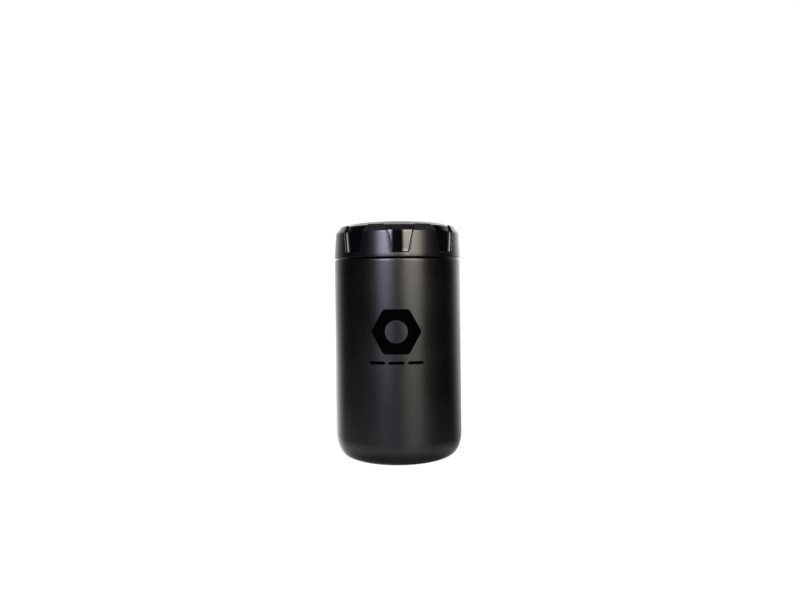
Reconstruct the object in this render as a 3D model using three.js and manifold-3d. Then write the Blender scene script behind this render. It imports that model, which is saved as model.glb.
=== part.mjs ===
// A tool canister for a bicycle's bottle cage: a moulded cup with a rounded base and a threaded neck,
// closed by a quick-thread lid with eight grip recesses. Millimetres, +Z up. The origin is the centre
// of the base, on the plane that the canister stands on. The front is -Y.

import * as THREE from "three";
import { mergeVertices } from "three/addons/utils/BufferGeometryUtils.js";
import Module from "manifold-3d";

const wasm = await Module();
wasm.setup();

// ---- Driving dimensions ----

const GAP = 0.3; // running clearance between neighbouring pieces
const TURN = 2 * Math.PI;
const SEGMENTS = 64; // facets round every revolved piece

// Canister body
const BODY_R = 37; // 74 mm across, the diameter that a bottle cage grips
const BODY_WALL = 2.2;
const SHOULDER_Z = 112.7;
const SHOULDER_ROUND = 0.9;
const SHOULDER_THICKNESS = 2.3;
const BASE_ROUND_R = 5.5; // the base's corner is a quarter ellipse: its radial reach
const BASE_ROUND_Z = 12; // and its height
const FOOT_INNER_R = 24; // the flat standing ring runs from here out to the corner
const FOOT_RECESS_SLOPE = 2;
const FOOT_RECESS = 1.2;
const FLOOR_Z = 3.6;

// Neck
const NECK_R = 29.9;
const NECK_BORE_R = 27.6;
const NECK_TOP_Z = 125.6;
const NECK_RIM_CHAMFER = 0.5;
const NECK_ROOT_FILLET = 0.8;

// Quick thread, the same helix on the neck and in the lid
const THREAD_STARTS = 3;
const THREAD_LEAD = 12;
const THREAD_SWEEP = THREE.MathUtils.degToRad(205);
const THREAD_DEPTH = 1.2;
const THREAD_CREST_HALF = 0.75; // half of a neck ridge's height at its crest
const THREAD_FLANK = 0.45; // how much taller each half is at the root
const THREAD_TIP_GAP = 0.1; // extra radial room between a crest and the opposite root
const THREAD_STEPS = 32;
const THREAD_RUNOUT = 0.08; // share of the sweep over which a ridge fades in and out
const THREAD_END = 0.05; // share of its depth that a ridge keeps at its ends
const THREAD_EMBED = 0.5; // how far a ridge's root reaches into its wall
const NECK_THREAD_Z = 116.6; // centre of a neck ridge where it starts
const LID_THREAD_Z = 117.3; // and of a lid ridge, with the lid closed

// Lid
const LID_BOTTOM_Z = 113.4;
const LID_BOTTOM_R = 37.2;
const LID_EDGE = 0.3; // chamfer on the lower edge
const LID_WALL_R = 36.5; // where the wall meets the chamfer
const CHAMFER_BOTTOM_Z = 127.5;
const CHAMFER_TOP_Z = 131.5;
const CHAMFER_TOP_R = 33.7;
const LAND_END_R = 32.4; // the lands end here, in a step down to the crown
const LAND_END_Z = 131.9;
const CROWN_RIM_R = 32.8;
const CROWN_RIM_Z = 131.1;
const CROWN_SHOULDER_R = 28.4; // a shallow dome rises from here
const CROWN_SHOULDER_Z = 132.9;
const CROWN_TOP_Z = 135;
const DOME_STEPS = 3;
const SHELL_BORE_R = 33.1;
const SHELL_WALL = 1.2; // behind an inlay
const CROWN_THICKNESS = 2;

// Grip recesses
const RECESS_COUNT = 8;
const LID_CLOCKING = THREE.MathUtils.degToRad(2.4); // where the thread stops the lid
const RECESS_BOTTOM_Z = 115.6;
const RECESS_HALF_BOTTOM = 5; // half of the recess's width at its ledge
const RECESS_HALF_EDGE = 7.3; // and where the wall meets the chamfer
const RECESS_HALF_TOP = 8.4; // and at the top of the chamfer
const RECESS_CORNER = 0.9;
const RECESS_FLOOR_R = 35.3; // the inlay's visible face
const RECESS_SINK = 0.8; // how far the inlay's face lies under the chamfer
const INLAY_THICKNESS = 0.8;
const INLAY_TOP_R = 33.1;

// Lid's inner cap
const CAP_R = SHELL_BORE_R - GAP;
const CAP_BOTTOM_Z = 114.1;
const CAP_BORE_R = NECK_R + THREAD_DEPTH + GAP + THREAD_TIP_GAP;
const CAP_CEILING_Z = 127.7;
const CAP_TOP_Z = 129.3;
const CAP_TOP_CHAMFER = 2.8;
const PLUG_R = 27.2; // the plug lip reaches into the neck and holds the seal
const PLUG_THICKNESS = 1.2;
const PLUG_DEPTH = 2.4;
const SNAP_Z = 119.5;
const SNAP_HALF = 0.5;
const SNAP_HEIGHT = 0.5;

// Soft pieces
const SEAL_THICKNESS = 1.5;
const LINER_THICKNESS = 1.6;
const LINER_BOTTOM_Z = 14;
const LINER_TOP_Z = 106;
const PAD_R = 29;
const PAD_THICKNESS = 3;
const PAD_EDGE = 0.6;

// ---- Solids ----

// A closed three.js geometry as a solid that can be joined and cut.
function toSolid(geometry) {
  geometry.deleteAttribute("normal");
  geometry.deleteAttribute("uv");
  const merged = mergeVertices(geometry);
  const vertProperties = merged.attributes.position.array;
  const triVerts = new Uint32Array(merged.index.array);
  return new wasm.Manifold(new wasm.Mesh({ numProp: 3, vertProperties, triVerts }));
}

function toGeometry(solid) {
  const mesh = solid.getMesh();
  const geometry = new THREE.BufferGeometry();
  geometry.setAttribute("position", new THREE.BufferAttribute(mesh.vertProperties, 3));
  geometry.setIndex(new THREE.BufferAttribute(mesh.triVerts, 1));
  geometry.computeVertexNormals();
  return geometry;
}

// Turns a profile of [radius, height] points round the Z axis.
function revolve(profile) {
  const points = profile.map(([r, z]) => new THREE.Vector2(r, z));
  return new THREE.LatheGeometry(points, SEGMENTS).rotateX(Math.PI / 2);
}

// A ring's profile closes on itself.
function revolveRing(profile) {
  return revolve([...profile, profile[0]]);
}

// Points on a quarter ellipse about (centreR, centreZ), between two angles in degrees.
function arc(centreR, centreZ, radiusR, radiusZ, from, to, steps) {
  return Array.from({ length: steps + 1 }, (_, i) => {
    const angle = THREE.MathUtils.degToRad(from + ((to - from) * i) / steps);
    return [centreR + radiusR * Math.cos(angle), centreZ + radiusZ * Math.sin(angle)];
  });
}

// One thread ridge: a bar bent along the helix. Its root is buried in the wall that carries it, and its
// ends fade into that wall. The crest is outside the root on the neck and inside it in the lid.
function threadRidge(rootR, crestR, crestHalf, angle, z) {
  const ridge = new THREE.BoxGeometry(1, 1, 1, 1, THREAD_STEPS, 1);
  const outward = Math.sign(crestR - rootR);
  const buriedR = rootR - outward * THREAD_EMBED;
  const position = ridge.attributes.position;
  for (let i = 0; i < position.count; i++) {
    const onCrest = position.getX(i) > 0;
    const along = position.getY(i) + 0.5;
    const side = outward * Math.sign(position.getZ(i));
    const fade = Math.min(1, along / THREAD_RUNOUT, (1 - along) / THREAD_RUNOUT);
    const crest = THREE.MathUtils.lerp(buriedR, crestR, Math.max(fade, THREAD_END));
    const radius = onCrest ? crest : buriedR;
    const half = onCrest ? crestHalf : crestHalf + THREAD_FLANK;
    const turned = angle + along * THREAD_SWEEP;
    const centre = z + (along * THREAD_SWEEP * THREAD_LEAD) / TURN;
    position.setXYZ(i, radius * Math.cos(turned), radius * Math.sin(turned), centre + side * half);
  }
  return toSolid(ridge);
}

// Joins one ridge per start to a wall.
function addThread(wall, rootR, crestR, crestHalf, firstAngle, z) {
  let threaded = wall;
  for (let start = 0; start < THREAD_STARTS; start++) {
    const angle = firstAngle + (start * TURN) / THREAD_STARTS;
    threaded = threaded.add(threadRidge(rootR, crestR, crestHalf, angle, z));
  }
  return threaded;
}

// ---- Canister body ----

function canisterBody() {
  const innerR = BODY_R - BODY_WALL;
  const ceilingZ = SHOULDER_Z - SHOULDER_THICKNESS;
  const innerRoundR = BASE_ROUND_R - BODY_WALL / 2;
  const innerRoundZ = BASE_ROUND_Z - FLOOR_Z;
  const shoulderCentreR = BODY_R - SHOULDER_ROUND;
  const shoulderCentreZ = SHOULDER_Z - SHOULDER_ROUND;
  const outside = [
    [0, FOOT_RECESS],
    [FOOT_INNER_R - FOOT_RECESS_SLOPE, FOOT_RECESS],
    [FOOT_INNER_R, 0],
    ...arc(BODY_R - BASE_ROUND_R, BASE_ROUND_Z, BASE_ROUND_R, BASE_ROUND_Z, -90, 0, 7),
    ...arc(shoulderCentreR, shoulderCentreZ, SHOULDER_ROUND, SHOULDER_ROUND, 0, 90, 3),
    [NECK_R + NECK_ROOT_FILLET, SHOULDER_Z],
    [NECK_R, SHOULDER_Z + NECK_ROOT_FILLET],
    [NECK_R, NECK_TOP_Z - NECK_RIM_CHAMFER],
    [NECK_R - NECK_RIM_CHAMFER, NECK_TOP_Z],
  ];
  const inside = [
    [NECK_BORE_R + NECK_RIM_CHAMFER, NECK_TOP_Z],
    [NECK_BORE_R, NECK_TOP_Z - NECK_RIM_CHAMFER],
    [NECK_BORE_R, ceilingZ],
    [innerR - BODY_WALL, ceilingZ],
    [innerR, ceilingZ - BODY_WALL],
    ...arc(innerR - innerRoundR, FLOOR_Z + innerRoundZ, innerRoundR, innerRoundZ, 0, -90, 4),
    [0, FLOOR_Z],
  ];
  const cup = toSolid(revolve([...outside, ...inside]));
  return addThread(cup, NECK_R, NECK_R + THREAD_DEPTH, THREAD_CREST_HALF, 0, NECK_THREAD_Z);
}

// ---- Lid ----

// The chamfer's line, moved into the lid by a depth: the height of that line at a radius.
function chamferZ(radius, depth) {
  const run = LID_WALL_R - CHAMFER_TOP_R;
  const rise = CHAMFER_TOP_Z - CHAMFER_BOTTOM_Z;
  const steepness = rise / run;
  return CHAMFER_BOTTOM_Z + (LID_WALL_R - radius) * steepness - (depth * Math.hypot(run, rise)) / run;
}

// A recess's outline as a bar that points out of the lid, drawn smaller on every side by inset.
function recessBar(azimuth, inset) {
  const edgeZ = CHAMFER_BOTTOM_Z;
  const topZ = CHAMFER_TOP_Z;
  const flare = (RECESS_HALF_TOP - RECESS_HALF_EDGE) / (topZ - edgeZ);
  const overZ = CROWN_TOP_Z + 1;
  const bottomZ = RECESS_BOTTOM_Z + inset;
  const bottom = RECESS_HALF_BOTTOM - inset;
  const edge = RECESS_HALF_EDGE - inset;
  const over = edge + (overZ - edgeZ) * flare;
  const cornerZ = bottomZ + RECESS_CORNER;
  const corner = bottom + ((edge - bottom) * RECESS_CORNER) / (edgeZ - bottomZ);
  const outline = new THREE.Shape();
  outline.moveTo(-bottom + RECESS_CORNER, bottomZ);
  outline.lineTo(bottom - RECESS_CORNER, bottomZ);
  outline.quadraticCurveTo(bottom, bottomZ, corner, cornerZ);
  outline.lineTo(edge, edgeZ);
  outline.lineTo(over, overZ);
  outline.lineTo(-over, overZ);
  outline.lineTo(-edge, edgeZ);
  outline.lineTo(-corner, cornerZ);
  outline.quadraticCurveTo(-bottom, bottomZ, -bottom + RECESS_CORNER, bottomZ);
  const innerR = CROWN_SHOULDER_R;
  const bar = new THREE.ExtrudeGeometry(outline, {
    depth: LID_BOTTOM_R + 1 - innerR,
    bevelEnabled: false,
    curveSegments: 3,
  });
  const outward = new THREE.Vector3(Math.cos(azimuth), Math.sin(azimuth), 0);
  const across = new THREE.Vector3(-Math.sin(azimuth), Math.cos(azimuth), 0);
  const up = new THREE.Vector3(0, 0, 1);
  bar.translate(0, 0, innerR);
  bar.applyMatrix4(new THREE.Matrix4().makeBasis(across, up, outward));
  return toSolid(bar);
}

function recessAzimuth(index) {
  return -Math.PI / 2 + LID_CLOCKING + (index * TURN) / RECESS_COUNT;
}

// The ring that an inlay is cut from: a skin under the recess's wall face and chamfer face.
function inlayRing() {
  const backR = RECESS_FLOOR_R - INLAY_THICKNESS;
  const backDepth = RECESS_SINK + INLAY_THICKNESS;
  return toSolid(
    revolveRing([
      [backR, LID_BOTTOM_Z],
      [RECESS_FLOOR_R, LID_BOTTOM_Z],
      [RECESS_FLOOR_R, chamferZ(RECESS_FLOOR_R, RECESS_SINK)],
      [INLAY_TOP_R, chamferZ(INLAY_TOP_R, RECESS_SINK)],
      [INLAY_TOP_R, chamferZ(INLAY_TOP_R, backDepth)],
      [backR, chamferZ(backR, backDepth)],
    ]),
  );
}

function gripInlay(index, ring) {
  return ring.intersect(recessBar(recessAzimuth(index), GAP));
}

// Everything outside the pockets' floor, which lies a gap behind the inlays.
function pocketRing() {
  const floorR = RECESS_FLOOR_R - INLAY_THICKNESS - GAP;
  const floorDepth = RECESS_SINK + INLAY_THICKNESS + GAP;
  const outsideR = LID_BOTTOM_R + 2;
  const overZ = CROWN_TOP_Z + 2;
  return toSolid(
    revolveRing([
      [floorR, LID_BOTTOM_Z - 1],
      [outsideR, LID_BOTTOM_Z - 1],
      [outsideR, overZ],
      [CROWN_RIM_R, overZ],
      [CROWN_RIM_R, chamferZ(CROWN_RIM_R, floorDepth)],
      [floorR, chamferZ(floorR, floorDepth)],
    ]),
  );
}

// Height of the crown's cone, between its rim and its shoulder.
function crownZ(radius) {
  const share = (CROWN_RIM_R - radius) / (CROWN_RIM_R - CROWN_SHOULDER_R);
  return THREE.MathUtils.lerp(CROWN_RIM_Z, CROWN_SHOULDER_Z, share);
}

// The dome's profile, from the crown's shoulder to the axis.
function dome() {
  return Array.from({ length: DOME_STEPS + 1 }, (_, i) => {
    const share = 1 - i / DOME_STEPS;
    const drop = (CROWN_TOP_Z - CROWN_SHOULDER_Z) * share * share;
    return [CROWN_SHOULDER_R * share, CROWN_TOP_Z - drop];
  });
}

function lidShell() {
  const underDepth = RECESS_SINK + INLAY_THICKNESS + GAP + SHELL_WALL;
  const underR = CROWN_RIM_R - CROWN_THICKNESS;
  const underDome = dome()
    .reverse()
    .map(([r, z]) => [r, z - CROWN_THICKNESS]);
  const grooveR = SHELL_BORE_R + SNAP_HEIGHT;
  const grooveHalf = SNAP_HALF + GAP;
  const shell = toSolid(
    revolve([
      ...underDome,
      [underR, chamferZ(underR, underDepth)],
      [SHELL_BORE_R, chamferZ(SHELL_BORE_R, underDepth)],
      [SHELL_BORE_R, SNAP_Z + grooveHalf + SNAP_HEIGHT],
      [grooveR, SNAP_Z + grooveHalf],
      [grooveR, SNAP_Z - grooveHalf],
      [SHELL_BORE_R, SNAP_Z - grooveHalf - SNAP_HEIGHT],
      [SHELL_BORE_R, LID_BOTTOM_Z],
      [LID_BOTTOM_R - LID_EDGE, LID_BOTTOM_Z],
      [LID_BOTTOM_R, LID_BOTTOM_Z + LID_EDGE],
      [LID_WALL_R, CHAMFER_BOTTOM_Z],
      [CHAMFER_TOP_R, CHAMFER_TOP_Z],
      [LAND_END_R, LAND_END_Z],
      [LAND_END_R, crownZ(LAND_END_R)],
      ...dome(),
    ]),
  );
  const outsidePockets = pocketRing();
  let carved = shell;
  for (let index = 0; index < RECESS_COUNT; index++) {
    const pocket = recessBar(recessAzimuth(index), 0).intersect(outsidePockets);
    carved = carved.subtract(pocket);
  }
  return carved;
}

function lidInnerCap() {
  const plugBoreR = PLUG_R - PLUG_THICKNESS;
  const plugEndZ = CAP_CEILING_Z - PLUG_DEPTH;
  const cap = toSolid(
    revolve([
      [0, CAP_CEILING_Z],
      [plugBoreR, CAP_CEILING_Z],
      [plugBoreR, plugEndZ],
      [PLUG_R, plugEndZ],
      [PLUG_R, CAP_CEILING_Z],
      [CAP_BORE_R, CAP_CEILING_Z],
      [CAP_BORE_R, CAP_BOTTOM_Z],
      [CAP_R, CAP_BOTTOM_Z],
      [CAP_R, SNAP_Z - SNAP_HALF - SNAP_HEIGHT],
      [CAP_R + SNAP_HEIGHT, SNAP_Z - SNAP_HALF],
      [CAP_R + SNAP_HEIGHT, SNAP_Z + SNAP_HALF],
      [CAP_R, SNAP_Z + SNAP_HALF + SNAP_HEIGHT],
      [CAP_R, CAP_TOP_Z - CAP_TOP_CHAMFER],
      [CAP_R - CAP_TOP_CHAMFER, CAP_TOP_Z],
      [0, CAP_TOP_Z],
    ]),
  );
  // The lid's ridges run half a pitch above the neck's, and fill the space between them less a gap.
  const pitch = THREAD_LEAD / THREAD_STARTS;
  const crestR = NECK_R + GAP + THREAD_TIP_GAP;
  const crestHalf = pitch / 2 - THREAD_CREST_HALF - THREAD_FLANK - GAP + THREAD_TIP_GAP;
  const firstAngle = ((LID_THREAD_Z - NECK_THREAD_Z - pitch / 2) * TURN) / THREAD_LEAD;
  return addThread(cap, CAP_BORE_R, crestR, crestHalf, firstAngle, LID_THREAD_Z);
}

// ---- Soft pieces ----

function sealRing() {
  const innerR = PLUG_R + GAP;
  const outerR = CAP_BORE_R - GAP;
  const bottomZ = NECK_TOP_Z + GAP;
  const topZ = bottomZ + SEAL_THICKNESS;
  return toSolid(revolveRing([[innerR, bottomZ], [outerR, bottomZ], [outerR, topZ], [innerR, topZ]]));
}

function linerSleeve() {
  const outerR = BODY_R - BODY_WALL - GAP;
  const innerR = outerR - LINER_THICKNESS;
  return toSolid(
    revolveRing([
      [innerR, LINER_BOTTOM_Z],
      [outerR, LINER_BOTTOM_Z],
      [outerR, LINER_TOP_Z],
      [innerR, LINER_TOP_Z],
    ]),
  );
}

function basePad() {
  const bottomZ = FLOOR_Z + GAP;
  const topZ = bottomZ + PAD_THICKNESS;
  return toSolid(
    revolve([[0, bottomZ], [PAD_R, bottomZ], [PAD_R, topZ - PAD_EDGE], [PAD_R - PAD_EDGE, topZ], [0, topZ]]),
  );
}

// ---- Materials ----

function finish(color, roughness) {
  return new THREE.MeshStandardMaterial({ color, roughness, metalness: 0 });
}

const satinBlack = finish(0x121214, 0.42);
const mattBlack = finish(0x17171a, 0.5);
const glossBlack = finish(0x060607, 0.08);
const innerBlack = finish(0x1b1b1d, 0.6);
const siliconeGrey = finish(0x4a4c50, 0.7);
const linerGrey = finish(0x2a2c30, 0.95);
const foamBlack = finish(0x202124, 0.98);

// ---- Assembly ----

const canister = new THREE.Group();
const lid = new THREE.Group();
const toolCanister = new THREE.Group();
toolCanister.add(canister, lid);

function addPiece(group, name, solid, material) {
  const mesh = new THREE.Mesh(toGeometry(solid), material.clone());
  mesh.name = name;
  group.add(mesh);
}

addPiece(canister, "canister_body", canisterBody(), satinBlack);
addPiece(canister, "liner_sleeve", linerSleeve(), linerGrey);
addPiece(canister, "base_pad", basePad(), foamBlack);
addPiece(lid, "lid_shell", lidShell(), mattBlack);
addPiece(lid, "lid_inner_cap", lidInnerCap(), innerBlack);
addPiece(lid, "seal_ring", sealRing(), siliconeGrey);

const ring = inlayRing();
for (let index = 0; index < RECESS_COUNT; index++) {
  addPiece(lid, `grip_inlay_${index + 1}`, gripInlay(index, ring), glossBlack);
}

export default toolCanister;
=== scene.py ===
"""The looks of a tool canister for a bicycle's bottle cage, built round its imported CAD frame."""

import math

import bpy
import numpy as np
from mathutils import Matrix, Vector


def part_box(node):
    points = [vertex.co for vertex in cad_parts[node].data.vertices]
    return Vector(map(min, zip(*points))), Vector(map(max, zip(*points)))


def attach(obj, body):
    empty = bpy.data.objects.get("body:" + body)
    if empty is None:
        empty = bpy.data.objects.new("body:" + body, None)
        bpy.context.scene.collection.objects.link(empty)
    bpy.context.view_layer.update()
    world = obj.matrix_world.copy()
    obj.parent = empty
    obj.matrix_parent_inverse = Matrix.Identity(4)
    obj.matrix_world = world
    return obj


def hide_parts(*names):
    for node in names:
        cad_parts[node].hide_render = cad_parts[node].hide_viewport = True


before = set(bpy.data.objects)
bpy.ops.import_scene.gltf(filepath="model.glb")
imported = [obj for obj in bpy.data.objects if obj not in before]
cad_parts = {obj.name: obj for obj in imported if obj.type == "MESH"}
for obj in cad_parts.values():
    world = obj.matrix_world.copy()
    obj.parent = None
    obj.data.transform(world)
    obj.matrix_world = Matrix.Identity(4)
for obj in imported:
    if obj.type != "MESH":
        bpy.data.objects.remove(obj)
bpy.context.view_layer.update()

# ---- Sizes, in millimetres ----

MM = 0.001
TURN = 2 * math.pi


def box_mm(node):
    """Lowest and highest corner of a CAD node, in millimetres."""
    low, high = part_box(node)
    return low / MM, high / MM


body_high = box_mm("canister_body")[1]
shell_low, shell_high = box_mm("lid_shell")
cap_low, cap_high = box_mm("lid_inner_cap")
seal_low, seal_high = box_mm("seal_ring")
liner_low, liner_high = box_mm("liner_sleeve")
pad_low, pad_high = box_mm("base_pad")
inlay_low = box_mm("grip_inlay_1")[0]

GAP = 0.3
COLUMNS = 256  # points round a revolved piece

BODY_R = body_high.x
BODY_WALL = 2.2
SHOULDER_Z = shell_low.z - 0.7
SHOULDER_ROUND = 0.9
SHOULDER_THICKNESS = 2.3
BASE_ROUND_R = 5.5
BASE_ROUND_Z = 12
FOOT_INNER_R = 24
FOOT_RECESS = 1.2
FLOOR_Z = pad_low.z - GAP

NECK_R = 29.9
NECK_BORE_R = 27.6
NECK_TOP_Z = body_high.z

THREAD_STARTS = 3
THREAD_LEAD = 12
THREAD_SWEEP = math.radians(205)
THREAD_DEPTH = 1.2
THREAD_FLANK = 0.45
THREAD_RUNOUT = math.radians(16)
NECK_THREAD_Z = 116.6
NECK_CREST_HALF = 0.75
LID_THREAD_Z = 117.3
LID_CREST_HALF = 0.6
THREAD_ROW = THREAD_LEAD / COLUMNS  # rows up a threaded wall keep step with the climb of the ridge

LID_BOTTOM_Z = shell_low.z
LID_BOTTOM_R = shell_high.x
LID_WALL_R = 36.5
CHAMFER_BOTTOM_Z = 127.5
CHAMFER_TOP_Z = 131.5
CHAMFER_TOP_R = 33.7
LAND_END_R = 32.4
LAND_END_Z = 131.9
CROWN_RIM_R = 32.8
CROWN_RIM_Z = 131.1
CROWN_SHOULDER_R = 28.4
CROWN_SHOULDER_Z = 132.9
CROWN_TOP_Z = shell_high.z
CROWN_THICKNESS = 2.0
SHELL_BORE_R = 33.1
SHELL_WALL = 1.2
SNAP_Z = 119.5  # groove in the shell that the inner cap's bead snaps into
SNAP_HALF = 0.8
SNAP_DEPTH = 0.5

RECESS_COUNT = 8
LID_CLOCKING = math.radians(2.4)
RECESS_BOTTOM_Z = inlay_low.z - GAP
RECESS_HALF_BOTTOM = 5.0
RECESS_HALF_EDGE = 7.3
RECESS_HALF_TOP = 8.4
RECESS_CORNER = 0.9
RECESS_CORNER_CUT = 0.45
RECESS_FLOOR_R = 35.3
RECESS_SINK = 0.8
INLAY_THICKNESS = 0.8
INLAY_LEAN = 0.65  # how far the panel's face draws in between its foot and its bend
TRAY_TOP_R = 32.95
TRAY_BACK_R = RECESS_FLOOR_R - 0.95
TRAY_GAP = 0.14  # dark line between a grip panel and the lid
TRAY_RIM = 0.12
TRAY_SWEEP = 0.6  # width of the fillet that sweeps the panel up to its rim
TRAY_SWEEP_START = 80  # degrees of the fillet at its rim, short of upright
TRAY_SWEEP_STEPS = 10
TRAY_RISE = 1.5  # and its rise on the wall
TRAY_RISE_CHAMFER = 0.5  # and on the chamfer


# ---- Mesh helpers ----


def rounded(corners, steps=5, closed=False):
    """A line through (radius, height, fillet) corners, each fillet drawn as an arc."""
    path = []
    count = len(corners)
    for i, (r, z, fillet) in enumerate(corners):
        here = np.array((r, z), float)
        if fillet == 0 or (not closed and i in (0, count - 1)):
            path.append(here)
            continue
        to_before = np.array(corners[i - 1][:2], float) - here
        to_after = np.array(corners[(i + 1) % count][:2], float) - here
        to_before /= np.linalg.norm(to_before)
        to_after /= np.linalg.norm(to_after)
        half = math.acos(np.clip(to_before @ to_after, -1, 1)) / 2
        inward = (to_before + to_after) / np.linalg.norm(to_before + to_after)
        centre = here + inward * fillet / math.sin(half)
        start = here + to_before * fillet / math.tan(half) - centre
        end = here + to_after * fillet / math.tan(half) - centre
        first = math.atan2(start[1], start[0])
        sweep = (math.atan2(end[1], end[0]) - first + math.pi) % TURN - math.pi
        for k in range(steps + 1):
            angle = first + sweep * k / steps
            path.append(centre + fillet * np.array((math.cos(angle), math.sin(angle))))
    return np.array(path)


def ellipse_arc(centre, radii, start, end, steps):
    """Points on an ellipse's arc between two angles in degrees."""
    angles = np.radians(np.linspace(start, end, steps + 1))
    return np.column_stack((centre[0] + radii[0] * np.cos(angles), centre[1] + radii[1] * np.sin(angles)))


def polar_rows(radius, height, angle):
    """Arrays of radius, height and angle as points."""
    radius, height, angle = np.broadcast_arrays(radius, height, angle)
    return np.stack((radius * np.cos(angle), radius * np.sin(angle), height), axis=-1)


def mesh_from(name, points, faces, sharp=35):
    """A smooth-shaded mesh of points in millimetres; edges over the angle stay sharp."""
    mesh = bpy.data.meshes.new(name)
    mesh.from_pydata([tuple(p) for p in np.asarray(points) * MM], [], faces)
    mesh.validate()
    mesh.polygons.foreach_set("use_smooth", [True] * len(mesh.polygons))
    mesh.set_sharp_from_angle(angle=math.radians(sharp))
    return mesh


def round_mesh(name, rows, ring=False, sharp=35):
    """A mesh of rows of points that run round the axis. A row on the axis becomes one point, and a
    ring's last row joins its first."""
    points = []
    index = np.empty(rows.shape[:2], int)
    for k, row in enumerate(rows):
        if np.ptp(row, axis=0).max() < 1e-6:
            index[k] = len(points)
            points.append(row[0])
        else:
            index[k] = len(points) + np.arange(len(row))
            points.extend(row)
    faces = []
    last = len(rows) if ring else len(rows) - 1
    for k in range(last):
        lower, upper = index[k], index[(k + 1) % len(rows)]
        for j in range(rows.shape[1]):
            nxt = (j + 1) % rows.shape[1]
            corners = dict.fromkeys((lower[j], lower[nxt], upper[nxt], upper[j]))
            if len(corners) > 2:
                faces.append([int(c) for c in corners])
    return mesh_from(name, points, faces, sharp)


def revolved(name, profile, ring=False, sharp=35):
    """A (radius, height) profile turned round the axis."""
    angle = np.linspace(0, TURN, COLUMNS, endpoint=False)
    rows = polar_rows(profile[:, :1], profile[:, 1:], angle[None, :])
    return round_mesh(name, rows, ring, sharp)


def slab_mesh(name, front, back, sharp=35):
    """A closed slab between two equal grids of points, front facing out."""
    rows, columns = front.shape[:2]
    points = np.concatenate((front.reshape(-1, 3), back.reshape(-1, 3)))
    offset = rows * columns

    def at(row, column):
        return row * columns + column

    faces = []
    for i in range(rows - 1):
        for j in range(columns - 1):
            quad = [at(i, j), at(i, j + 1), at(i + 1, j + 1), at(i + 1, j)]
            faces.append(quad)
            faces.append([offset + q for q in reversed(quad)])
    edge = [at(0, j) for j in range(columns)]
    edge += [at(i, columns - 1) for i in range(1, rows)]
    edge += [at(rows - 1, j) for j in range(columns - 2, -1, -1)]
    edge += [at(i, 0) for i in range(rows - 2, 0, -1)]
    for a, b in zip(edge, edge[1:] + edge[:1]):
        faces.append([b, a, offset + a, offset + b])
    return mesh_from(name, points, faces, sharp)


def add_piece(name, mesh, material, body, slot, *replaced):
    """Puts a mesh on its body with its finish, in place of CAD nodes."""
    piece = bpy.data.objects.new(name, mesh)
    bpy.context.scene.collection.objects.link(piece)
    mesh.materials.append(material)
    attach(piece, body)
    if replaced:
        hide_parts(*replaced)
    return piece


# ---- Materials ----


class Nodes:
    """Short calls for building the nodes of a material or a world."""

    def __init__(self, tree):
        self.tree = tree

    def add(self, kind, inputs=None, **settings):
        node = self.tree.nodes.new(kind)
        for key, value in settings.items():
            setattr(node, key, value)
        for key, value in (inputs or {}).items():
            self.set(node, key, value)
        return node

    def set(self, node, key, value):
        if isinstance(value, bpy.types.NodeSocket):
            self.tree.links.new(value, node.inputs[key])
        else:
            node.inputs[key].default_value = value

    def noise(self, size_mm, detail=2, stretch=(1, 1, 1)):
        """Noise whose grains are about size_mm across."""
        place = self.add("ShaderNodeTexCoord").outputs["Object"]
        mapping = self.add("ShaderNodeMapping", {"Vector": place, "Scale": stretch})
        scale = 1 / (size_mm * MM)
        texture = self.add(
            "ShaderNodeTexNoise", {"Vector": mapping.outputs["Vector"], "Scale": scale, "Detail": detail}
        )
        return texture.outputs["Fac"]

    def ramp(self, value, low, high, to_low, to_high, smooth=False):
        """A value rescaled from one range to another, and kept inside it."""
        node = self.add(
            "ShaderNodeMapRange",
            {"Value": value, "From Min": low, "From Max": high, "To Min": to_low, "To Max": to_high},
            interpolation_type="SMOOTHSTEP" if smooth else "LINEAR",
        )
        return node.outputs["Result"]

    def math(self, operation, first, second=0.0):
        return self.add("ShaderNodeMath", {0: first, 1: second}, operation=operation).outputs[0]

    def total(self, *values):
        result = values[0]
        for value in values[1:]:
            result = self.math("ADD", result, value)
        return result

    def product(self, *values):
        result = values[0]
        for value in values[1:]:
            result = self.math("MULTIPLY", result, value)
        return result

    def mix(self, kind, factor, first, second):
        """A value between two of a kind, RGBA or VECTOR, each a socket or a tuple."""
        node = self.add("ShaderNodeMix", data_type=kind)
        self.set(node, "Factor", factor)
        for name, value in (("A", first), ("B", second)):
            target = [s for s in node.inputs if s.name == name and s.type == kind][0]
            if isinstance(value, bpy.types.NodeSocket):
                self.tree.links.new(value, target)
            else:
                target.default_value = (*value, 1) if kind == "RGBA" else value
        return [s for s in node.outputs if s.type == kind][0]

    def blend(self, factor, first, second):
        """A colour between two."""
        return self.mix("RGBA", factor, first, second)

    def bump(self, height, depth_mm, strength=1.0, under=None):
        """A bump from a height of 0 to 1 that stands for depth_mm."""
        inputs = {"Height": height, "Distance": depth_mm * MM, "Strength": strength}
        if under is not None:
            inputs["Normal"] = under
        return self.add("ShaderNodeBump", inputs).outputs["Normal"]


class Finish(Nodes):
    """A material with one principled surface."""

    def __init__(self, name):
        self.material = bpy.data.materials.new(name)
        self.material.use_nodes = True
        super().__init__(self.material.node_tree)
        self.surface = self.tree.nodes["Principled BSDF"]

    def done(self, **inputs):
        for key, value in inputs.items():
            self.set(self.surface, key.replace("_", " "), value)
        return self.material


SCUFF_ROUGHNESS = 0.025


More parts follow.
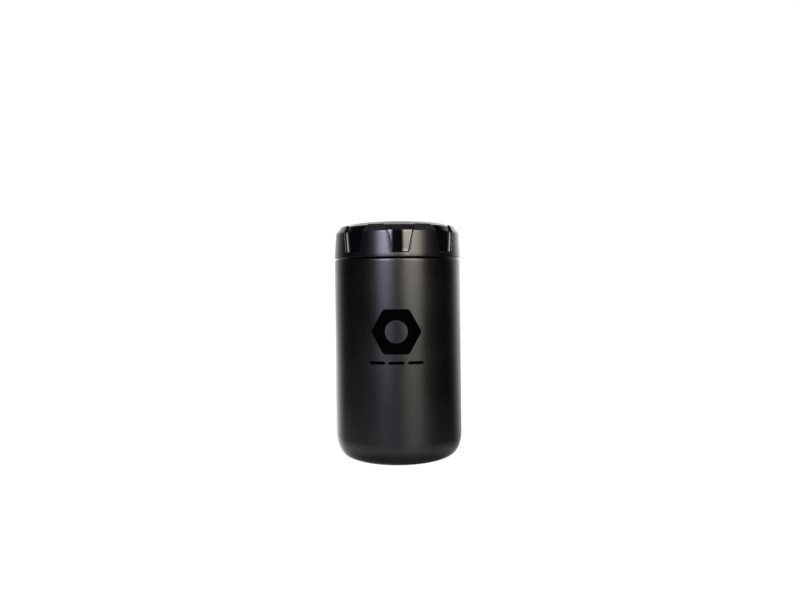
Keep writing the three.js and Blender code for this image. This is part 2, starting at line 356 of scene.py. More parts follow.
def moulded_plastic(name, dark, light, roughness, grain_mm, grain_depth):
    """Moulded plastic with a spark-eroded grain, faint handling marks and long fine scuffs."""
    n = Finish(name)
    cloud = n.noise(28, 3)
    grain = n.noise(grain_mm, 2)
    scuffs = n.noise(1.2, 4, stretch=(1, 1, 0.06))
    base = n.blend(n.ramp(cloud, 0.35, 0.65, 0, 1), dark, light)
    handled = n.ramp(cloud, 0.3, 0.7, roughness - 0.02, roughness + 0.03)
    scratched = n.ramp(scuffs, 0.56, 0.78, 0, SCUFF_ROUGHNESS)
    speckle = n.ramp(grain, 0.3, 0.7, -0.02, 0.02)
    rough = n.total(handled, scratched, speckle)
    normal = n.bump(scuffs, 0.001, 0.25, under=n.bump(grain, grain_depth, 1.0))
    return n.done(Base_Color=base, Roughness=rough, Normal=normal)


def gloss_plastic():
    """Polished plastic with the slight waviness of a moulding and a few hairline swirls."""
    n = Finish("inlay_gloss")
    wave = n.noise(9, 1)
    swirl = n.noise(0.5, 5, stretch=(1, 1, 0.15))
    rough = n.ramp(swirl, 0.45, 0.75, 0.045, 0.1)
    normal = n.bump(wave, 0.012, 0.6)
    return n.done(Base_Color=(0.001, 0.001, 0.0011, 1), Roughness=rough, Normal=normal)


def printing_ink():
    """Flat black pad-printing ink with a faint mottle."""
    n = Finish("mark_ink")
    mottle = n.noise(0.35, 3)
    base = n.blend(mottle, (0.0001, 0.0001, 0.0001), (0.0004, 0.0004, 0.0004))
    rough = n.ramp(mottle, 0.3, 0.7, 0.5, 0.62)
    normal = n.bump(mottle, 0.006, 0.5)
    return n.done(Base_Color=base, Roughness=rough, Normal=normal, Specular_IOR_Level=0.004)


def silicone():
    """Grey silicone with a dusty bloom."""
    n = Finish("seal_silicone")
    bloom = n.noise(4, 4)
    fine = n.noise(0.3, 2)
    base = n.blend(bloom, (0.06, 0.065, 0.07), (0.1, 0.105, 0.11))
    rough = n.ramp(bloom, 0.3, 0.7, 0.5, 0.68)
    normal = n.bump(fine, 0.01, 0.5)
    return n.done(Base_Color=base, Roughness=rough, Normal=normal)


def felt():
    """Needled felt: matted fibres, uneven in shade."""
    n = Finish("liner_felt")
    fibres = n.noise(0.35, 8, stretch=(1, 1, 3))
    crossing = n.noise(0.5, 8, stretch=(3, 3, 1))
    patches = n.noise(12, 3)
    web = n.math("MULTIPLY", fibres, crossing)
    base = n.blend(n.ramp(web, 0.15, 0.4, 0, 1), (0.012, 0.013, 0.015), (0.055, 0.058, 0.064))
    shade = n.blend(n.ramp(patches, 0.35, 0.65, 0.0, 0.4), base, (0.02, 0.021, 0.024))
    normal = n.bump(web, 0.35, 0.9)
    return n.done(Base_Color=shade, Roughness=0.95, Normal=normal, Sheen_Weight=0.35)


def foam():
    """Closed-cell foam: tiny cut cells."""
    n = Finish("pad_foam")
    place = n.add("ShaderNodeTexCoord").outputs["Object"]
    cells = n.add("ShaderNodeTexVoronoi", {"Vector": place, "Scale": 1 / (0.7 * MM)})
    pits = n.ramp(cells.outputs["Distance"], 0.0, 0.6, 0, 1)
    base = n.blend(pits, (0.03, 0.031, 0.034), (0.014, 0.0145, 0.016))
    normal = n.bump(pits, 0.12, 0.8)
    return n.done(Base_Color=base, Roughness=0.9, Normal=normal)


body_plastic = moulded_plastic(
    "body_plastic",
    dark=(0.0004, 0.0004, 0.0005),
    light=(0.0008, 0.0008, 0.0009),
    roughness=0.275,
    grain_mm=0.22,
    grain_depth=0.004,
)
lid_plastic = moulded_plastic(
    "lid_plastic",
    dark=(0.0005, 0.0005, 0.0005),
    light=(0.0009, 0.0009, 0.0009),
    roughness=0.27,
    grain_mm=0.3,
    grain_depth=0.006,
)
cap_plastic = moulded_plastic(
    "cap_plastic",
    dark=(0.005, 0.005, 0.0055),
    light=(0.008, 0.008, 0.0085),
    roughness=0.45,
    grain_mm=0.4,
    grain_depth=0.008,
)
inlay_gloss = gloss_plastic()
mark_ink = printing_ink()
seal_silicone = silicone()
liner_felt = felt()
pad_foam = foam()


# ---- Canister body ----


def thread_height(angle, z, first_angle, first_z, crest_half):
    """Height of a multi-start ridge above its wall, from 0 to 1, at an angle and height."""
    height = np.zeros(np.broadcast(angle, z).shape)
    for start in range(THREAD_STARTS):
        along = (angle - first_angle - start * TURN / THREAD_STARTS) % TURN
        centre = first_z + along * THREAD_LEAD / TURN
        flank = (crest_half + THREAD_FLANK - np.abs(z - centre)) / THREAD_FLANK
        ends = np.minimum(along, THREAD_SWEEP - along) / THREAD_RUNOUT
        ridge = np.clip(flank, 0, 1) * np.clip(ends, 0, 1)
        height = np.maximum(height, ridge * ridge * (3 - 2 * ridge))
    return height


def wall_rows(low, high):
    """Heights up a threaded wall."""
    rows = int((high - low) / THREAD_ROW)
    return np.append(low + THREAD_ROW * np.arange(rows), high)


def threaded_mesh(name, profile, wall_r, outward, first_angle, first_z, crest_half):
    """A revolved profile whose wall at one radius carries the thread, outward 1 or inward -1."""
    angle = np.linspace(0, TURN, COLUMNS, endpoint=False)[None, :]
    radius = np.repeat(profile[:, :1], COLUMNS, axis=1)
    height = profile[:, 1:]
    ridge = thread_height(angle, height, first_angle, first_z, crest_half)
    on_wall = np.abs(radius - wall_r) < 1e-6
    radius = radius + np.where(on_wall, outward * ridge * THREAD_DEPTH, 0)
    return round_mesh(name, polar_rows(radius, height, angle))


def build_body():
    inner_r = BODY_R - BODY_WALL
    ceiling_z = SHOULDER_Z - SHOULDER_THICKNESS
    inner_round_r = BASE_ROUND_R - BODY_WALL / 2
    inner_round_z = BASE_ROUND_Z - FLOOR_Z
    foot = rounded(
        [
            (0, FOOT_RECESS, 0),
            (FOOT_INNER_R - 2, FOOT_RECESS, 1.2),
            (FOOT_INNER_R, 0, 0.9),
            (BODY_R - BASE_ROUND_R, 0, 0),
        ]
    )
    corner = ellipse_arc((BODY_R - BASE_ROUND_R, BASE_ROUND_Z), (BASE_ROUND_R, BASE_ROUND_Z), -90, 0, 32)
    wall = np.column_stack((np.full(8, BODY_R), np.linspace(BASE_ROUND_Z, SHOULDER_Z - 2, 9)[1:]))
    shoulder = rounded(
        [
            (BODY_R, SHOULDER_Z - 2, 0),
            (BODY_R, SHOULDER_Z, SHOULDER_ROUND),
            (NECK_R, SHOULDER_Z, 0.7),
            (NECK_R, SHOULDER_Z + 1, 0),
        ],
        steps=6,
    )[1:]
    threaded_z = wall_rows(SHOULDER_Z + 1, NECK_TOP_Z - 0.8)[1:]
    threaded = np.column_stack((np.full(len(threaded_z), NECK_R), threaded_z))
    mouth = rounded(
        [
            (NECK_R, NECK_TOP_Z - 0.8, 0),
            (NECK_R, NECK_TOP_Z, 0.55),
            (NECK_BORE_R, NECK_TOP_Z, 0.55),
            (NECK_BORE_R, ceiling_z, 0.6),
            (inner_r, ceiling_z, 2.2),
            (inner_r, FLOOR_Z + inner_round_z, 0),
        ]
    )[1:]
    bowl = ellipse_arc(
        (inner_r - inner_round_r, FLOOR_Z + inner_round_z), (inner_round_r, inner_round_z), 0, -90, 16
    )[1:]
    profile = np.concatenate((foot, corner[1:], wall, shoulder, threaded, mouth, bowl, [(0, FLOOR_Z)]))
    mesh = threaded_mesh("canister_cup", profile, NECK_R, 1, 0, NECK_THREAD_Z, NECK_CREST_HALF)
    add_piece("canister_cup", mesh, body_plastic, "canister", "body_plastic", "canister_body")


# ---- Lid shell with its recesses ----

CHAMFER_RUN = LID_WALL_R - CHAMFER_TOP_R
CHAMFER_RISE = CHAMFER_TOP_Z - CHAMFER_BOTTOM_Z


def chamfer_z(radius, depth):
    """Height of the chamfer's line at a radius, moved into the lid by a depth."""
    slope = CHAMFER_RISE / CHAMFER_RUN
    return CHAMFER_BOTTOM_Z + (LID_WALL_R - radius) * slope - depth * math.hypot(1, slope)


def sunk_radius(z, face_r, depth):
    """Radius at a height of a face that lies under the wall and then under the chamfer."""
    slope = CHAMFER_RISE / CHAMFER_RUN
    on_chamfer = LID_WALL_R - (z - CHAMFER_BOTTOM_Z + depth * math.hypot(1, slope)) / slope
    return np.minimum(face_r, on_chamfer)


def recess_half(z):
    """Half of a recess's width at a height, with its lower corners eased."""
    below = (RECESS_HALF_EDGE - RECESS_HALF_BOTTOM) / (CHAMFER_BOTTOM_Z - RECESS_BOTTOM_Z)
    above = (RECESS_HALF_TOP - RECESS_HALF_EDGE) / CHAMFER_RISE
    straight = np.where(
        z < CHAMFER_BOTTOM_Z,
        RECESS_HALF_BOTTOM + (z - RECESS_BOTTOM_Z) * below,
        RECESS_HALF_EDGE + (z - CHAMFER_BOTTOM_Z) * above,
    )
    in_corner = np.clip(1 - (z - RECESS_BOTTOM_Z) / RECESS_CORNER, 0, 1)
    return straight - RECESS_CORNER_CUT * in_corner**2


def crown_z(radius):
    """Height of the crown's cone, between its rim and its shoulder."""
    return np.interp(radius, (CROWN_SHOULDER_R, CROWN_RIM_R), (CROWN_SHOULDER_Z, CROWN_RIM_Z))


def dome(steps):
    """The dome's profile, from just inside the crown's shoulder to the axis."""
    share = np.linspace(1, 0, steps + 1)[1:]
    fall = (CROWN_TOP_Z - CROWN_SHOULDER_Z) * share**2
    return np.column_stack((CROWN_SHOULDER_R * share, CROWN_TOP_Z - fall))


def recess_azimuth(index):
    return -math.pi / 2 + LID_CLOCKING + index * TURN / RECESS_COUNT


EDGE_ROUND = 0.2
POCKET_DEPTH = LID_WALL_R - (RECESS_FLOOR_R - INLAY_THICKNESS - GAP)
EDGE_STEPS = 5


def edge_steps():
    """Across a pocket's edge, from its floor out to the land: distance past the wall, and depth."""
    turn = np.linspace(0, math.pi / 2, EDGE_STEPS + 1)
    distance = EDGE_ROUND * (1 - np.cos(turn))
    depth = EDGE_ROUND * (1 - np.sin(turn))
    distance = np.concatenate(((-0.08, -0.04), distance))
    depth = np.concatenate(((POCKET_DEPTH, POCKET_DEPTH / 2), depth))
    return distance, depth / POCKET_DEPTH


FLOOR_COLUMNS = 7
LAND_COLUMNS = 9


def shell_profiles():
    """Two lines up the lid's outside, point for point: over a land, and over a pocket's floor. The
    third value is how far each row has sunk into the pocket at its ledge, from 0 to 1."""
    distance, sunk = edge_steps()
    ledge_z = RECESS_BOTTOM_Z - distance[::-1]
    ledge_sunk = sunk[::-1]

    def wall_r(z):
        share = (z - LID_BOTTOM_Z) / (CHAMFER_BOTTOM_Z - LID_BOTTOM_Z)
        return LID_BOTTOM_R + (LID_WALL_R - LID_BOTTOM_R) * share

    over_z = np.linspace(ledge_z[-1], CHAMFER_BOTTOM_Z - 1.2, 14)[1:]
    wall_z = np.concatenate((ledge_z, over_z))
    land = [(wall_r(z), z) for z in wall_z]
    step_z = crown_z(LAND_END_R)
    brow = rounded(
        [
            (*land[-1], 0),
            (LID_WALL_R, CHAMFER_BOTTOM_Z, 1.4),
            (CHAMFER_TOP_R, CHAMFER_TOP_Z, 0.4),
            (LAND_END_R, LAND_END_Z, 0.25),
            (LAND_END_R, step_z, 0),
        ],
        steps=6,
    )[1:]
    chamfer_rows = 7
    split = 7  # the first corner's arc ends here, and the chamfer's straight run follows
    share = np.linspace(0, 1, chamfer_rows + 2)[1:-1, None]
    run = brow[split - 1] + (brow[split] - brow[split - 1]) * share
    brow = np.concatenate((brow[:split], run, brow[split:]))
    land = np.concatenate((land, brow))

    floor_r = RECESS_FLOOR_R - INLAY_THICKNESS - GAP
    floor_depth = RECESS_SINK + INLAY_THICKNESS + GAP
    z = land[:, 1]
    pocket_r = np.maximum(sunk_radius(z, floor_r, floor_depth), CROWN_RIM_R)
    pocket = np.column_stack((pocket_r, z))
    rim = np.flatnonzero(z >= CROWN_RIM_Z - 0.25)[0]
    tail = np.linspace(0, 1, len(z) - rim)
    lip = np.array([(CROWN_RIM_R, CROWN_RIM_Z - 0.25), (CROWN_RIM_R, CROWN_RIM_Z), (LAND_END_R, step_z)])
    lip_at = np.array([0, 0.35, 1])
    pocket[rim:, 0] = np.interp(tail, lip_at, lip[:, 0])
    pocket[rim:, 1] = np.interp(tail, lip_at, lip[:, 1])
    ledge = np.concatenate((ledge_sunk, np.ones(len(z) - len(ledge_sunk))))
    return land, pocket, ledge


def build_shell():
    land, pocket, ledge = shell_profiles()
    distance, sunk = edge_steps()
    sector = TURN / RECESS_COUNT
    columns = []
    for share in np.linspace(0, 1, FLOOR_COLUMNS)[:-1]:
        columns.append(("floor", share, 1.0))
    for past, depth in zip(distance, sunk):
        columns.append(("edge", past, depth))
    for share in np.linspace(0, 1, LAND_COLUMNS)[1:]:
        columns.append(("land", share, 0.0))

    half_width = recess_half(np.maximum(land[:, 1], RECESS_BOTTOM_Z))
    radii, heights, angles = [], [], []
    for kind, value, depth in columns:
        into = np.minimum(depth, ledge)
        radius = land[:, 0] + (pocket[:, 0] - land[:, 0]) * into
        height = land[:, 1] + (pocket[:, 1] - land[:, 1]) * into
        if kind == "floor":
            angle = np.arcsin(value * (half_width + distance[0]) / radius)
        elif kind == "edge":
            angle = np.arcsin((half_width + value) / radius)
        else:
            start = np.arcsin((half_width + distance[-1]) / land[:, 0])
            angle = start + (sector / 2 - start) * value
        radii.append(radius)
        heights.append(height)
        angles.append(angle)
    radii, heights, angles = (np.array(a) for a in (radii, heights, angles))
    # The half sector is mirrored and then repeated round the lid.
    mirrored = slice(-2, 0, -1)
    radii = np.concatenate((radii, radii[mirrored]))
    heights = np.concatenate((heights, heights[mirrored]))
    angles = np.concatenate((angles, sector - angles[mirrored]))
    around = np.concatenate([angles + recess_azimuth(i) for i in range(RECESS_COUNT)]).T
    radii = np.tile(radii, (RECESS_COUNT, 1)).T
    heights = np.tile(heights, (RECESS_COUNT, 1)).T
    outside = polar_rows(radii, heights, around)

    under_depth = RECESS_SINK + INLAY_THICKNESS + GAP + SHELL_WALL
    under_r = CROWN_RIM_R - CROWN_THICKNESS
    under_dome = np.concatenate(([(CROWN_SHOULDER_R, CROWN_SHOULDER_Z)], dome(8)))[::-1]
    under = rounded(
        [
            (*under_dome[-1] - (0, CROWN_THICKNESS), 0),
            (under_r, chamfer_z(under_r, under_depth), 0.6),
            (SHELL_BORE_R, chamfer_z(SHELL_BORE_R, under_depth), 0.5),
            (SHELL_BORE_R, SNAP_Z + SNAP_HALF + SNAP_DEPTH, 0.1),
            (SHELL_BORE_R + SNAP_DEPTH, SNAP_Z + SNAP_HALF, 0.1),
            (SHELL_BORE_R + SNAP_DEPTH, SNAP_Z - SNAP_HALF, 0.1),
            (SHELL_BORE_R, SNAP_Z - SNAP_HALF - SNAP_DEPTH, 0.1),
            (SHELL_BORE_R, LID_BOTTOM_Z, 0.25),
            (LID_BOTTOM_R, LID_BOTTOM_Z, 0.2),
            (*land[0], 0),
        ]
    )[:-1]
    under = np.concatenate((under_dome[:-1] - (0, CROWN_THICKNESS), under))
    crown = rounded(
        [
            (LAND_END_R, crown_z(LAND_END_R), 0),
            (CROWN_SHOULDER_R, CROWN_SHOULDER_Z, 3.0),
            (*dome(12)[0], 0),
        ],
        steps=6,
    )[1:]
    crown = np.concatenate((crown, dome(12)[1:]))
    rows = np.concatenate(
        (
            polar_rows(under[:, :1], under[:, 1:], around[:1]),
            outside,
            polar_rows(crown[:, :1], crown[:, 1:], around[-1:]),
        )
    )
    mesh = round_mesh("lid_outer", rows)
    add_piece("lid_outer", mesh, lid_plastic, "lid", "lid_plastic", "lid_shell")


def build_inlay(index):
    """A gloss panel, shaped as a shallow tray: its floor follows the wall and the chamfer, and its sides
    and foot sweep up to a thin rim."""
    sweep = np.sin(np.radians(np.linspace(TRAY_SWEEP_START, 0, TRAY_SWEEP_STEPS)))
    bottom_z = RECESS_BOTTOM_Z + TRAY_GAP
    top_z = chamfer_z(TRAY_TOP_R, RECESS_SINK)
    bend_r = RECESS_FLOOR_R - INLAY_LEAN
    bend_z = chamfer_z(RECESS_FLOOR_R, RECESS_SINK)
    bend = rounded([(RECESS_FLOOR_R, bottom_z, 0), (bend_r, bend_z, 1.0), (TRAY_TOP_R, top_z, 0)], steps=6)
    foot_z = bottom_z + TRAY_RIM + TRAY_SWEEP * (1 - sweep)
    wall_z = np.concatenate(([bottom_z], foot_z, np.linspace(foot_z[-1], bend[1][1], 10)[1:-1]))
    wall_r = np.interp(wall_z, (bottom_z, bend_z), (RECESS_FLOOR_R, bend_r))
    chamfer = bend[-2] + (bend[-1] - bend[-2]) * np.linspace(0, 1, 9)[1:, None]
    line = np.concatenate((np.column_stack((wall_r, wall_z)), bend[1:-1], chamfer))
    run = np.gradient(line, axis=0)
    normal = np.column_stack((run[:, 1], -run[:, 0])) / np.linalg.norm(run, axis=1)[:, None]
    full_rise = np.interp(line[:, 1], (bend_z - 2, bend_z), (TRAY_RISE, TRAY_RISE_CHAMFER))
    foot_sweep = np.zeros(len(line))
    foot_sweep[: len(sweep) + 1] = np.concatenate((sweep[:1], sweep))
    eased_top = np.zeros(len(line))
    eased_top[-2:] = (0.02, 0.12)
    half = recess_half(line[:, 1]) - TRAY_GAP

    # Each column is a distance from the middle and its share of the side fillet.
    inner = half - TRAY_RIM - TRAY_SWEEP
    edge = [(half, sweep[0])] + [(inner + TRAY_SWEEP * share, share) for share in sweep]
    columns = [(-across, share) for across, share in edge]
    columns += [(inner * share, 0.0) for share in np.linspace(-1, 1, 17)[1:-1]]
    columns += edge[::-1]
    front, back = [], []
    back_r = sunk_radius(line[:, 1], TRAY_BACK_R, RECESS_SINK + INLAY_THICKNESS)
    for across, side_sweep in columns:
        up = np.minimum(np.hypot(side_sweep, foot_sweep), sweep[0])
        rise = full_rise * (1 - np.sqrt(1 - up**2)) - eased_top
        face_r = line[:, 0] + rise * normal[:, 0]
        face_z = line[:, 1] + rise * normal[:, 1]
        for target, radius, z in ((front, face_r, face_z), (back, back_r, line[:, 1])):
            angle = recess_azimuth(index) + np.arcsin(across / radius)
            target.append(polar_rows(radius, z, angle))
    front = np.array(front).transpose(1, 0, 2)
    back = np.array(back).transpose(1, 0, 2)
    name = f"grip_panel_{index + 1}"
    mesh = slab_mesh(name, front, back)
    add_piece(name, mesh, inlay_gloss, "lid", "inlay_gloss", f"grip_inlay_{index + 1}")


# ---- Inner cap, seal, liner and pad ----

CAP_BORE_R = NECK_R + THREAD_DEPTH + 0.4
CAP_CEILING_Z = cap_high.z - 1.6
PLUG_R = 27.2


def build_inner_cap():
    cap_r = SHELL_BORE_R - GAP
    snap_r = cap_high.x
    plug_end = CAP_CEILING_Z - 2.4
    ceiling = rounded(
        [
            (0, CAP_CEILING_Z, 0),
            (PLUG_R - 1.2, CAP_CEILING_Z, 0.3),
            (PLUG_R - 1.2, plug_end, 0.3),
            (PLUG_R, plug_end, 0.3),
            (PLUG_R, CAP_CEILING_Z, 0.2),
            (CAP_BORE_R, CAP_CEILING_Z, 0.3),
            (CAP_BORE_R, CAP_CEILING_Z - 1, 0),
        ]
    )
    threaded_z = wall_rows(cap_low.z + 1, CAP_CEILING_Z - 1)[::-1][1:]
    threaded = np.column_stack((np.full(len(threaded_z), CAP_BORE_R), threaded_z))
    outside = rounded(
        [
            (CAP_BORE_R, cap_low.z + 1, 0),
            (CAP_BORE_R, cap_low.z, 0.35),
            (cap_r, cap_low.z, 0.3),
            (cap_r, SNAP_Z - 1, 0.2),
            (snap_r, SNAP_Z - 0.5, 0.2),
            (snap_r, SNAP_Z + 0.5, 0.2),
            (cap_r, SNAP_Z + 1, 0.2),
            (cap_r, cap_high.z - 2.8, 0.5),
            (cap_r - 2.8, cap_high.z, 0.5),
            (0, cap_high.z, 0),
        ]
    )[1:]
    profile = np.concatenate((ceiling, threaded, outside))
    pitch = THREAD_LEAD / THREAD_STARTS
    first_angle = (LID_THREAD_Z - NECK_THREAD_Z - pitch / 2) * TURN / THREAD_LEAD
    mesh = threaded_mesh(
        "lid_threaded_cap", profile, CAP_BORE_R, -1, first_angle, LID_THREAD_Z, LID_CREST_HALF
    )
    add_piece("lid_threaded_cap", mesh, cap_plastic, "lid", "cap_plastic", "lid_inner_cap")


def build_seal():
    """A flat ring with eased corners and two raised sealing beads on its lower face."""
    inner_r, outer_r = PLUG_R + GAP, seal_high.x
    low, high = seal_low.z, seal_high.z
    bead = 0.12
    middle = (inner_r + outer_r) / 2
    section = rounded(
        [
            (inner_r, low + bead, 0.25),
            (middle - 1.2, low + bead, 0.2),
            (middle - 0.8, low, 0.15),
            (middle - 0.4, low + bead, 0.1),
            (middle + 0.4, low + bead, 0.1),
            (middle + 0.8, low, 0.15),
            (middle + 1.2, low + bead, 0.2),
            (outer_r, low + bead, 0.25),
            (outer_r, high, 0.3),
            (inner_r, high, 0.3),
        ],
        steps=3,
        closed=True,
    )
    mesh = revolved("neck_seal", section, ring=True)
    add_piece("neck_seal", mesh, seal_silicone, "seal", "seal_silicone", "seal_ring")


def build_liner():
    """A felt sleeve, lapped down one side, that ripples a little against the wall."""
    rng = np.random.default_rng(11)
    outer_r = liner_high.x
    thickness = 1.6
    arc_steps = 5
    section = rounded(
        [
            (outer_r - thickness, liner_low.z, 0.6),
            (outer_r, liner_low.z, 0.6),
            (outer_r, liner_high.z, 0.7),
            (outer_r - thickness, liner_high.z, 0.7),
        ],
        steps=arc_steps,
        closed=True,
    )
    # The section starts at its outer lower corner, and its two long sides are filled with rows.
    arc = arc_steps + 1
    turned = np.roll(section, -arc, axis=0)
    rising = np.linspace(0, 1, 40)[1:-1, None]

    def side_after(last):
        return turned[last] + (turned[last + 1] - turned[last]) * rising

    outer_run, inner_run = side_after(arc - 1), side_after(3 * arc - 1)
    section = np.concatenate((turned[:arc], outer_run, turned[arc : 3 * arc], inner_run, turned[3 * arc :]))
    angle = np.linspace(0, TURN, COLUMNS, endpoint=False)[None, :]
    radius = np.repeat(section[:, :1], COLUMNS, axis=1)
    height = np.repeat(section[:, 1:], COLUMNS, axis=1)
    ripple = np.zeros_like(radius)
    for waves, size in ((3, 0.09), (5, 0.06), (8, 0.04)):
        phase, tilt = rng.uniform(0, TURN), rng.uniform(0.02, 0.05)
        ripple += size * np.sin(waves * angle + phase + tilt * height)
    lap = np.exp(-((np.angle(np.exp(1j * (angle - 0.6))) / 0.07) ** 2))
    inside = radius < outer_r - thickness / 2
    radius = radius - 0.2 + ripple - np.where(inside, 0.6 * lap, 0)
    mesh = round_mesh("liner_felt_sleeve", polar_rows(radius, height, angle), ring=True)
    add_piece("liner_felt_sleeve", mesh, liner_felt, "canister", "liner_felt", "liner_sleeve")


def build_pad():
    """A foam disc, slightly crowned, with a pressed edge."""
    radius = pad_high.x
    low, high = pad_low.z, pad_high.z
    profile = rounded(
        [
            (0, low, 0),
            (radius, low, 0.3),
            (radius, high - 0.5, 0.7),
            (radius - 3, high - 0.35, 4),
            (radius * 0.5, high - 0.08, 60),
            (0, high, 0),
        ],
        steps=6,
    )
    mesh = revolved("floor_pad", profile)
    add_piece("floor_pad", mesh, pad_foam, "canister", "pad_foam", "base_pad")


# ---- Printed mark ----

MARK_Z = 73.0
MARK_AZIMUTH = -math.pi / 2 - math.radians(1.5)
MARK_HALF = 14.0
MARK_HOLE = 6.2
DASH_Z = MARK_Z - MARK_HALF * 0.87 - 4.6
DASH_HALF = 0.85
DASH_SPANS = ((-15, -6.2), (-4.4, 4.4), (6.2, 15))
INK_LOW = 0.015
INK_HIGH = 0.05


def on_body(across, height, lift):
    """A point of a flat drawing wrapped on to the body's wall."""
    radius = BODY_R + lift
    return polar_rows(radius, height, MARK_AZIMUTH + across / BODY_R)


def hexagon_reach(turn, half_flat):
    """Distance from the centre to a hexagon's edge, its points left and right, corners eased."""
    side = (turn + math.pi / 6) % (math.pi / 3) - math.pi / 6
    side = np.pi / 6 - np.abs(side)
    sharp = half_flat / np.cos(side)
    return np.minimum(sharp, half_flat * 1.125)


def build_mark():
    """A plain hexagonal nut with a round hole, over three plain dashes."""
    turn = np.linspace(0, TURN, 192, endpoint=False)
    outer = hexagon_reach(turn, MARK_HALF * math.cos(math.pi / 6))
    inner = np.full_like(turn, MARK_HOLE)
    shares = np.linspace(0, 1, 12)
    rows = []
    for lift, order in ((INK_HIGH, shares), (INK_LOW, shares[::-1])):
        for share in order:
            reach = inner + (outer - inner) * share
            rows.append(on_body(reach * np.cos(turn), MARK_Z + reach * np.sin(turn), lift))
    mesh = round_mesh("printed_nut", np.array(rows)[::-1], ring=True, sharp=60)
    add_piece("printed_nut", mesh, mark_ink, "canister", "inlay_gloss")

    for number, (start, end) in enumerate(DASH_SPANS):
        across = np.linspace(start, end, 16)
        ends = np.minimum(across - start, end - across)
        half = DASH_HALF * np.sqrt(np.clip(ends / 0.6, 0.25, 1))
        up = np.linspace(-1, 1, 5)[:, None]
        grid = (across[None, :] + 0 * up, DASH_Z + up * half[None, :])
        name = f"printed_dash_{number + 1}"
        mesh = slab_mesh(name, on_body(*grid, INK_HIGH), on_body(*grid, INK_LOW), 60)
        add_piece(name, mesh, mark_ink, "canister", "inlay_gloss")


build_body()
build_shell()
for inlay in range(RECESS_COUNT):
    build_inlay(inlay)
build_inner_cap()
build_seal()
build_liner()
build_pad()
build_mark()


# ---- Stage: floor, light and camera ----

# Azimuths in degrees, 0 in front and positive to the right, at which each softbox, glow or shadow
# starts, is full, is still full, and ends.
LEFT_BOX = (-38, -29, -15, -8)
RIGHT_BOX = (8, 15, 38, 47)
REAR_LEFT = (-180, -160, -110, -80)
REAR_RIGHT = (80, 110, 160, 180)
REAR_GLOW = (108, 145, 150, 172)
TABLE_SHADE = (40, 75, 130, 165)

# Angles away from the front at which the backdrop and the table's rear shade set in.
BACKDROP = (110, 165)
TABLE_REAR = (95, 140)

# Elevations in degrees over which each level changes, written from start to end.
BOX_TOP = (32, 52)
BACKDROP_UP = (5, 60)
BACKDROP_DOWN = (-15, -38)
CEILING = (40, 65)
TABLE = (-6, -30)
TABLE_UNDER = (-24, -50)
TABLE_SHADE_FADE = (-14, -30)

LEFT_TINT = (1.02, 0.97, 1.28)
RIGHT_TINT = (1.05, 1.0, 0.86)
REAR_TINT = (1.04, 0.99, 1.0)
PLAIN_WHITE = (1.1, 1.1, 1.1)
AMBIENT = 0.004


def fade(n, value, span, first, last):
    """A level that passes smoothly from first to last over a span."""
    return n.ramp(value, *span, first, last, True)


def band(n, value, edges):
    """1 between two values, with soft sides."""
    return n.product(fade(n, value, edges[:2], 0, 1), fade(n, value, edges[2:], 1, 0))


def growth(n, value, per_degree, cap):
    """An exponential rise that stops at a cap."""
    return n.math("EXPONENT", n.math("MULTIPLY", n.math("MINIMUM", value, cap), per_degree))


def tinted(n, level, color):
    node = n.add("ShaderNodeVectorMath", {0: color}, operation="SCALE")
    n.set(node, "Scale", level)
    return node.outputs["Vector"]


def together(n, *colors):
    result = colors[0]
    for color in colors[1:]:
        result = n.add("ShaderNodeVectorMath", {0: result, 1: color}, operation="ADD").outputs["Vector"]
    return result


def front_light(n, azimuth, elevation):
    """Two upright softboxes beside the camera, brighter with height up to their tops."""
    below_top = fade(n, elevation, BOX_TOP, 1, 0)
    left = n.product(band(n, azimuth, LEFT_BOX), growth(n, elevation, 0.19, 13), below_top, 1.5)
    right = n.product(band(n, azimuth, RIGHT_BOX), growth(n, elevation, 0.112, 14), below_top, 2.8)
    return together(n, tinted(n, left, LEFT_TINT), tinted(n, right, RIGHT_TINT))


def rear_light(n, azimuth, around, elevation):
    """A pale backdrop that is brighter low on the left than low on the right, and a glow on the right."""
    backdrop = n.product(fade(n, around, BACKDROP, 0, 1.8), n.ramp(elevation, *BACKDROP_UP, 1, 0.6))
    backdrop = n.product(backdrop, fade(n, elevation, BACKDROP_DOWN, 1, 0.15))
    low = n.math("SUBTRACT", 1.0, growth(n, elevation, 0.085, 0))
    low_left = n.product(band(n, azimuth, REAR_LEFT), low, 0.45)
    low_right = n.product(band(n, azimuth, REAR_RIGHT), low, -1.0)
    backdrop = n.product(backdrop, n.total(low_left, low_right, 1.0))
    glow = n.product(band(n, azimuth, REAR_GLOW), growth(n, elevation, 0.06, 4), 0.6)
    return tinted(n, n.total(backdrop, glow), REAR_TINT)


def ceiling_and_table(n, azimuth, around, elevation):
    """A dim ceiling, and a pale table that is shaded on the right and at the rear."""
    ceiling = fade(n, elevation, CEILING, 0, 0.34)
    table = n.product(fade(n, elevation, TABLE, 0, 0.98), fade(n, elevation, TABLE_UNDER, 1, 0.25))
    shade = n.product(band(n, azimuth, TABLE_SHADE), fade(n, elevation, TABLE_SHADE_FADE, -0.9, -0.2))
    rear = fade(n, around, TABLE_REAR, 0, -0.35)
    table = n.product(table, n.total(shade, rear, 1.0))
    return tinted(n, n.total(ceiling, table, AMBIENT), (1.0, 1.0, 1.0))


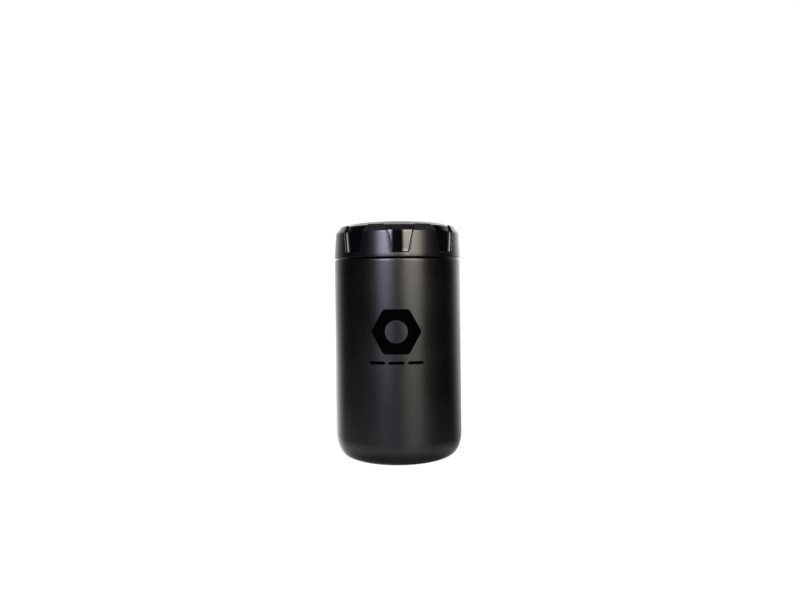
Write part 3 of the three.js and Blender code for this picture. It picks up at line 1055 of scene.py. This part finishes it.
def build_world():
    """The studio, a shader on the world. Reflections see its softboxes, backdrop, ceiling and table;
    the camera and the light that falls on rough surfaces see plain white."""
    world = bpy.data.worlds.new("studio")
    bpy.context.scene.world = world
    world.use_nodes = True
    world.node_tree.nodes.clear()
    n = Nodes(world.node_tree)
    split = n.add("ShaderNodeSeparateXYZ", {"Vector": n.add("ShaderNodeTexCoord").outputs["Generated"]})
    x, y, z = (split.outputs[axis] for axis in "XYZ")
    azimuth = n.math("DEGREES", n.math("ARCTAN2", x, n.math("MULTIPLY", y, -1.0)))
    around = n.math("ABSOLUTE", azimuth)
    elevation = n.math("DEGREES", n.math("ARCSINE", z))
    studio = together(
        n,
        front_light(n, azimuth, elevation),
        rear_light(n, azimuth, around, elevation),
        ceiling_and_table(n, azimuth, around, elevation),
    )
    path = n.add("ShaderNodeLightPath")
    plain = n.math("MAXIMUM", path.outputs["Is Camera Ray"], path.outputs["Is Diffuse Ray"])
    seen = n.mix("VECTOR", plain, studio, PLAIN_WHITE)
    background = n.add("ShaderNodeBackground", {"Color": seen})
    output = n.add("ShaderNodeOutputWorld")
    n.tree.links.new(background.outputs["Background"], output.inputs["Surface"])


FLOOR_HALF = 4.0
FLOOR_DROP = 0.0002  # keeps the floor clear of the standing ring
FLOOR_GREY = (0.12, 0.12, 0.12, 1)
FLOOR_GLOW = 0.95


def build_floor():
    """A plain pale floor that blends into the white background and is left out of reflections."""
    low, high = -FLOOR_HALF, FLOOR_HALF
    corners = [(low, low, 0), (high, low, 0), (high, high, 0), (low, high, 0)]
    mesh = bpy.data.meshes.new("floor")
    mesh.from_pydata(corners, [], [(0, 1, 2, 3)])
    floor = bpy.data.objects.new("floor", mesh)
    bpy.context.scene.collection.objects.link(floor)
    material = Finish("floor_white").done(
        Base_Color=FLOOR_GREY,
        Roughness=0.9,
        Specular_IOR_Level=0.0,
        Emission_Color=(1, 1, 1, 1),
        Emission_Strength=FLOOR_GLOW,
    )
    mesh.materials.append(material)
    floor.location.z = -FLOOR_DROP
    floor.visible_glossy = False


CAMERA_DISTANCE = 10 * BODY_R * MM
CAMERA_HEIGHT = 0.102
CAMERA_ROLL = math.radians(0.53)


def build_camera():
    """A level, slightly rolled camera in front of the axis, three quarters of the way up the object."""
    data = bpy.data.cameras.new("camera")
    camera = bpy.data.objects.new("camera", data)
    bpy.context.scene.collection.objects.link(camera)
    data.sensor_width = 36
    data.lens = 28
    data.shift_x = 0.00307
    data.shift_y = -0.0279
    camera.location = (0, -CAMERA_DISTANCE, CAMERA_HEIGHT)
    camera.rotation_euler = (math.pi / 2, CAMERA_ROLL, 0)
    bpy.context.scene.camera = camera


build_world()
build_floor()
build_camera()
bpy.context.scene.view_settings.view_transform = "Standard"
